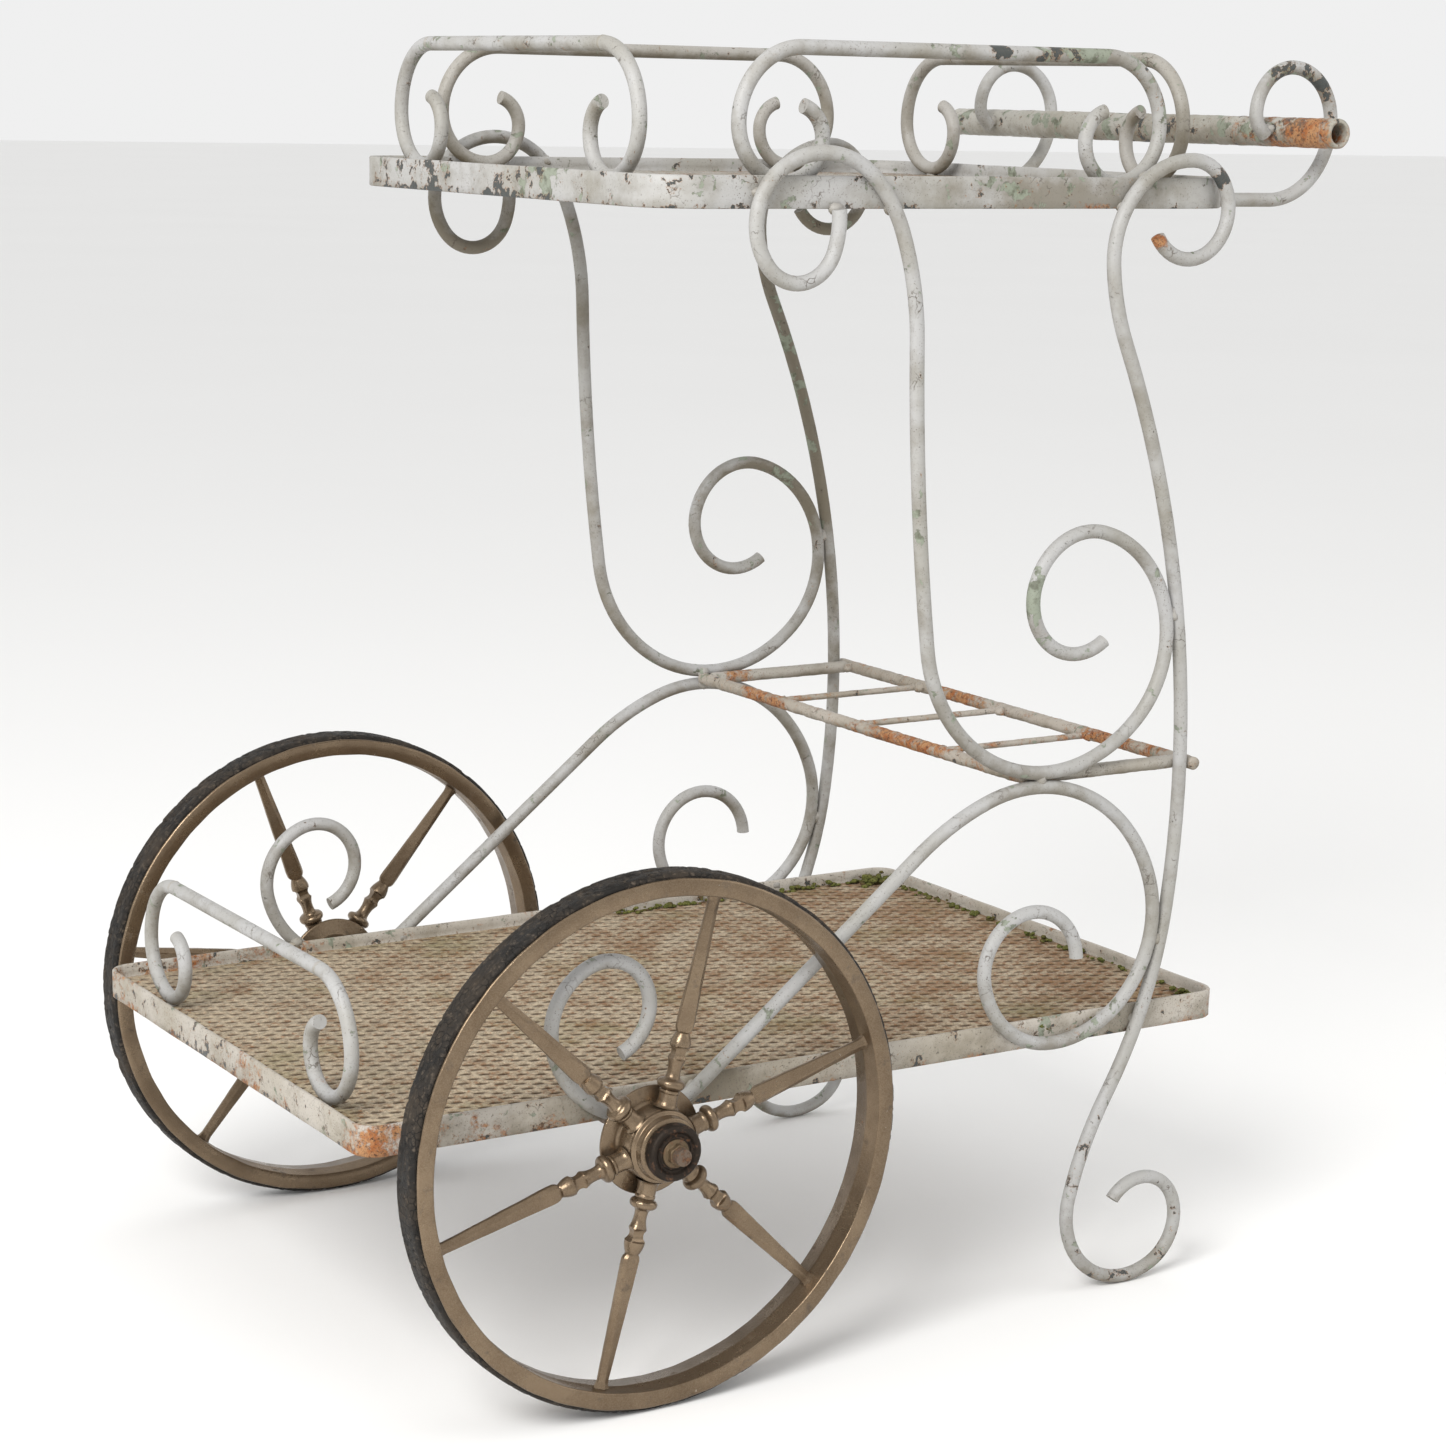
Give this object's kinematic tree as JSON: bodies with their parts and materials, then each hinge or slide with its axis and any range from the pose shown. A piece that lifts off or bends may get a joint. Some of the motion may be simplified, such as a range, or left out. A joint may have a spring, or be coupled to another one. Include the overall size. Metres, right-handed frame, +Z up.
{
  "type": "garden cart",
  "caption": "Wrought-iron garden serving cart with scrolled side frames, a railed tray over a mesh shelf, a push handle and spoked wheels at one end.",
  "frame": {"origin": "on the ground under the middle of the cart's length and width", "axes": "+X towards the push handle (wheels at -X), +Y to the right hand of a person pushing at the handle, so the left frame and wheel are at -Y, +Z up"},
  "size_m": [0.776, 0.554, 0.8501],
  "materials": {
    "side_frame_paint": "off-white paint over iron, chipped, with rust specks",
    "rail_paint": "off-white paint, chipped to dark metal",
    "middle_frame_paint": "off-white paint with heavy orange rust",
    "handle_tube_paint": "flaking off-white paint with rust",
    "tray_rim_paint": "off-white paint flaking to dark metal",
    "shelf_rim_paint": "off-white paint with rust spots and moss",
    "deck_mesh": "expanded metal, worn paint, rust-brown and mossy",
    "wheel_paint": "satin bronze-brown metallic paint",
    "tyre_rubber": "weathered black rubber",
    "axle_steel": "dull rusted steel",
    "hub_cap_iron": "dark rusted iron"
  },
  "bodies": {
    "cart": {"axle": "axle_steel", "axle_collars": "axle_steel", "axle_end_caps": "hub_cap_iron", "axle_nuts": "hub_cap_iron", "brace_scroll_left": "side_frame_paint", "brace_scroll_right": "side_frame_paint", "gallery_rail_back": "rail_paint", "gallery_rail_front": "rail_paint", "gallery_rail_left": "rail_paint", "gallery_rail_right": "rail_paint", "handle_support_left": "rail_paint", "handle_support_right": "rail_paint", "handle_tube": "handle_tube_paint", "leg_scroll_left": "side_frame_paint", "leg_scroll_right": "side_frame_paint", "middle_bar_back": "middle_frame_paint", "middle_bar_front": "middle_frame_paint", "middle_bar_left": "middle_frame_paint", "middle_bar_right": "middle_frame_paint", "middle_thin_bars": "middle_frame_paint", "shelf_deck": "deck_mesh", "shelf_rail_front": "rail_paint", "shelf_rim": "shelf_rim_paint", "tray_deck": "deck_mesh", "tray_rim": "tray_rim_paint", "tray_scroll_left": "side_frame_paint", "tray_scroll_right": "side_frame_paint"},
    "wheel_left": {"wheel_channel_left": "wheel_paint", "wheel_hub_left": "wheel_paint", "wheel_spokes_left": "wheel_paint", "wheel_tyre_left": "tyre_rubber"},
    "wheel_right": {"wheel_channel_right": "wheel_paint", "wheel_hub_right": "wheel_paint", "wheel_spokes_right": "wheel_paint", "wheel_tyre_right": "tyre_rubber"}
  },
  "joints": [
    {"name": "wheel_left_spin", "type": "hinge", "parent": "cart", "child": "wheel_left", "pos_m": [-0.19998, -0.2415, 0.176], "axis": [0, 1, 0], "continuous": true},
    {"name": "wheel_right_spin", "type": "hinge", "parent": "cart", "child": "wheel_right", "pos_m": [-0.19998, 0.2415, 0.176], "axis": [0, 1, 0], "continuous": true}
  ]
}
